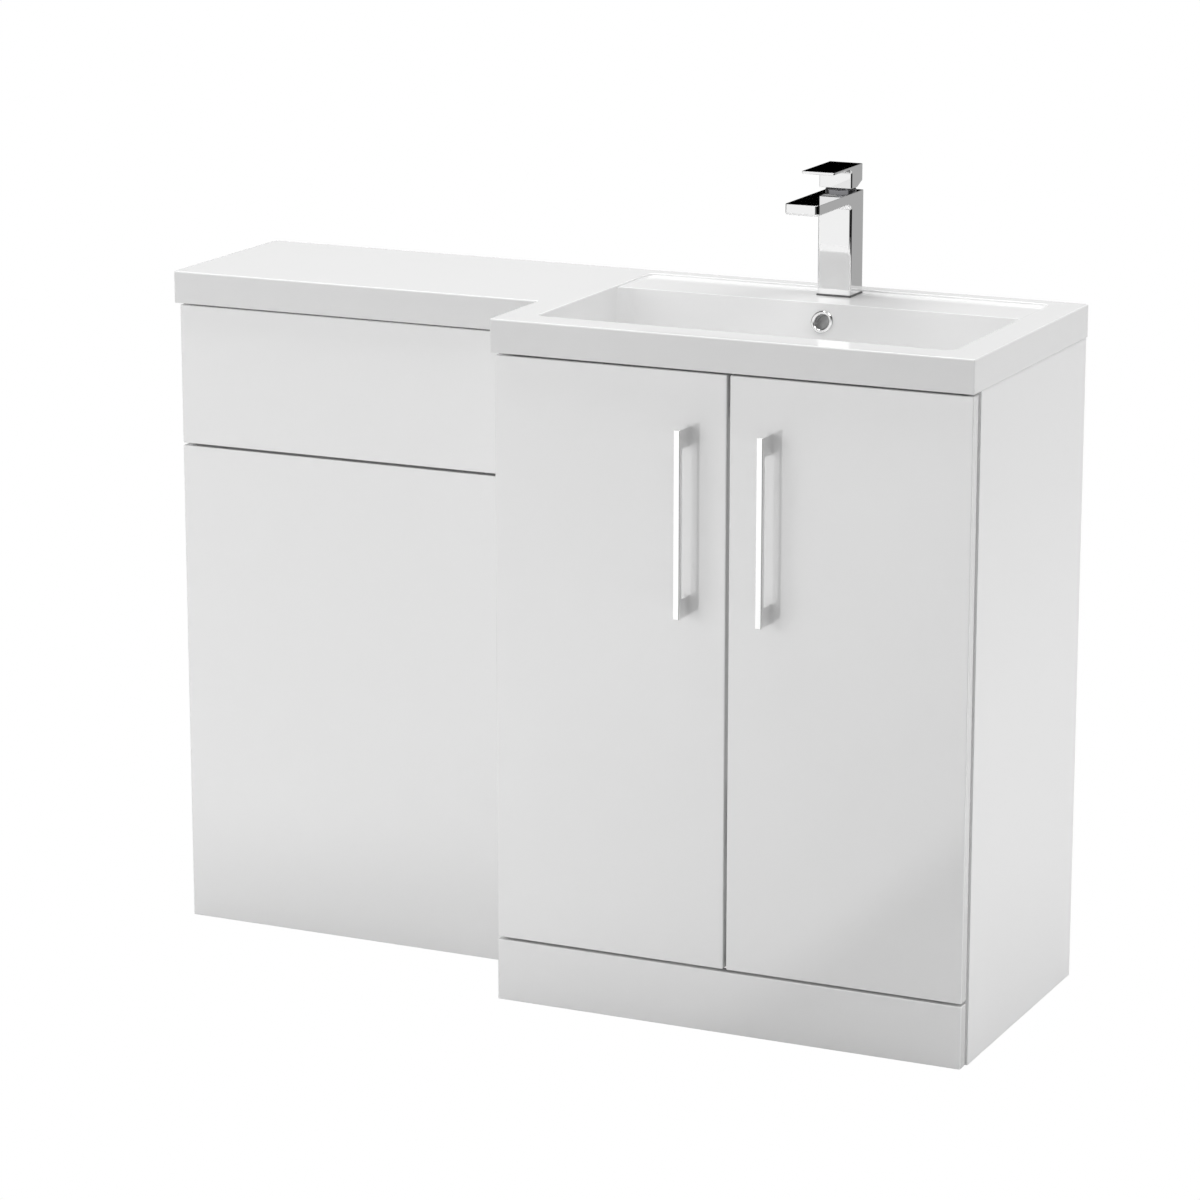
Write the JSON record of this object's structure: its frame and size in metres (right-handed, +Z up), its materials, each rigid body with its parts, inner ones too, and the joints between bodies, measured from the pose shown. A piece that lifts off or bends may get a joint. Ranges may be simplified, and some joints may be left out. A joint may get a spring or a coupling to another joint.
{
  "type": "toilet and basin combination unit",
  "caption": "L-shaped white top with a moulded basin and mixer tap over a two-door cabinet and a shallow WC housing with plain front panels.",
  "frame": {"origin": "middle of the footprint, on the floor", "axes": "+X along the unit from the WC end to the basin end, +Y towards the wall, +Z up"},
  "size_m": [1.1, 0.407, 0.991],
  "materials": {
    "cast_basin": "white gel-coated cast resin, polished",
    "gloss_front": "white high-gloss faced board",
    "carcass_board": "white satin-faced chipboard",
    "polished_chrome": "polished chrome plate",
    "handle_metal": "polished chrome plate",
    "zinc_steel": "nickel or zinc plated steel",
    "zinc_cast": "die-cast zinc",
    "brass_part": "plain brass",
    "copper_pipe": "half-hard copper tube",
    "white_plastic": "moulded polypropylene",
    "grey_plastic": "moulded acetal",
    "rubber_seal": "soft rubber",
    "beech": "beech dowel"
  },
  "bodies": {
    "cabinet": {"basin_top": "cast_basin", "overflow_ring": "polished_chrome", "waste_body": "polished_chrome", "waste_washer": "rubber_seal", "waste_nut": "grey_plastic", "trap_nut": "white_plastic", "trap_body": "white_plastic", "trap_cup": "white_plastic", "trap_outlet_nut": "white_plastic", "tap_body": "polished_chrome", "tap_gasket": "grey_plastic", "tap_aerator": "grey_plastic", "tap_cartridge": "grey_plastic", "tap_cap_ring": "polished_chrome", "inlet_tails": "copper_pipe", "tap_stud": "zinc_steel", "tap_clamp": "zinc_steel", "tap_backnut": "brass_part", "vanity_side_left": "carcass_board", "vanity_side_right": "carcass_board", "vanity_base": "carcass_board", "vanity_rail_top": "carcass_board", "vanity_rail_low": "carcass_board", "plinth": "gloss_front", "hinge_arms": "zinc_steel", "hinge_plates": "zinc_steel", "door_buffers": "white_plastic", "wc_side_left": "carcass_board", "wc_side_right": "carcass_board", "wc_rail_top": "carcass_board", "wc_rail_mid": "carcass_board", "wc_rail_back": "carcass_board", "wc_panel_lower": "gloss_front", "panel_sockets": "grey_plastic", "angle_brackets": "zinc_steel", "wall_brackets": "zinc_steel", "wood_screws": "zinc_steel", "cam_fittings": "zinc_cast", "dowels": "beech", "cabinet_bolts": "zinc_steel"},
    "left_door": {"door_left": "gloss_front", "handle_left": "handle_metal", "door_screws_left": "zinc_steel", "hinge_cups_left": "zinc_steel", "hinge_pins_left": "zinc_steel"},
    "right_door": {"door_right": "gloss_front", "handle_right": "handle_metal", "door_screws_right": "zinc_steel", "hinge_cups_right": "zinc_steel", "hinge_pins_right": "zinc_steel"},
    "upper_panel": {"wc_panel_upper": "gloss_front", "panel_studs": "white_plastic"},
    "mixer_turn": {"tap_yoke": "grey_plastic", "yoke_pin": "zinc_steel"},
    "mixer_lever": {"tap_lever": "polished_chrome", "lever_spindle": "brass_part", "lever_grub_screw": "zinc_steel", "lever_plug": "polished_chrome"},
    "plug": {"waste_plug": "polished_chrome"}
  },
  "joints": [
    {"name": "left_door_hinge", "type": "hinge", "parent": "cabinet", "child": "left_door", "pos_m": [-0.042, -0.1665, 0.436], "axis": [0, 0, -1], "range_deg": [0, 100]},
    {"name": "right_door_hinge", "type": "hinge", "parent": "cabinet", "child": "right_door", "pos_m": [0.539, -0.1665, 0.436], "axis": [0, 0, 1], "range_deg": [0, 100]},
    {"name": "upper_panel_pull", "type": "slide", "parent": "cabinet", "child": "upper_panel", "axis": [0, -1, 0], "range_m": [0, 0.06]},
    {"name": "mixer_turn", "type": "hinge", "parent": "cabinet", "child": "mixer_turn", "pos_m": [0.24975, 0.15925, 0.948], "axis": [0, 0, 1], "range_deg": [-50, 50]},
    {"name": "mixer_lift", "type": "hinge", "parent": "mixer_turn", "child": "mixer_lever", "pos_m": [0.24975, 0.15925, 0.948], "axis": [-1, 0, 0], "range_deg": [0, 20]},
    {"name": "plug_pop", "type": "slide", "parent": "cabinet", "child": "plug", "axis": [0, 0, 1], "range_m": [0, 0.008]}
  ]
}
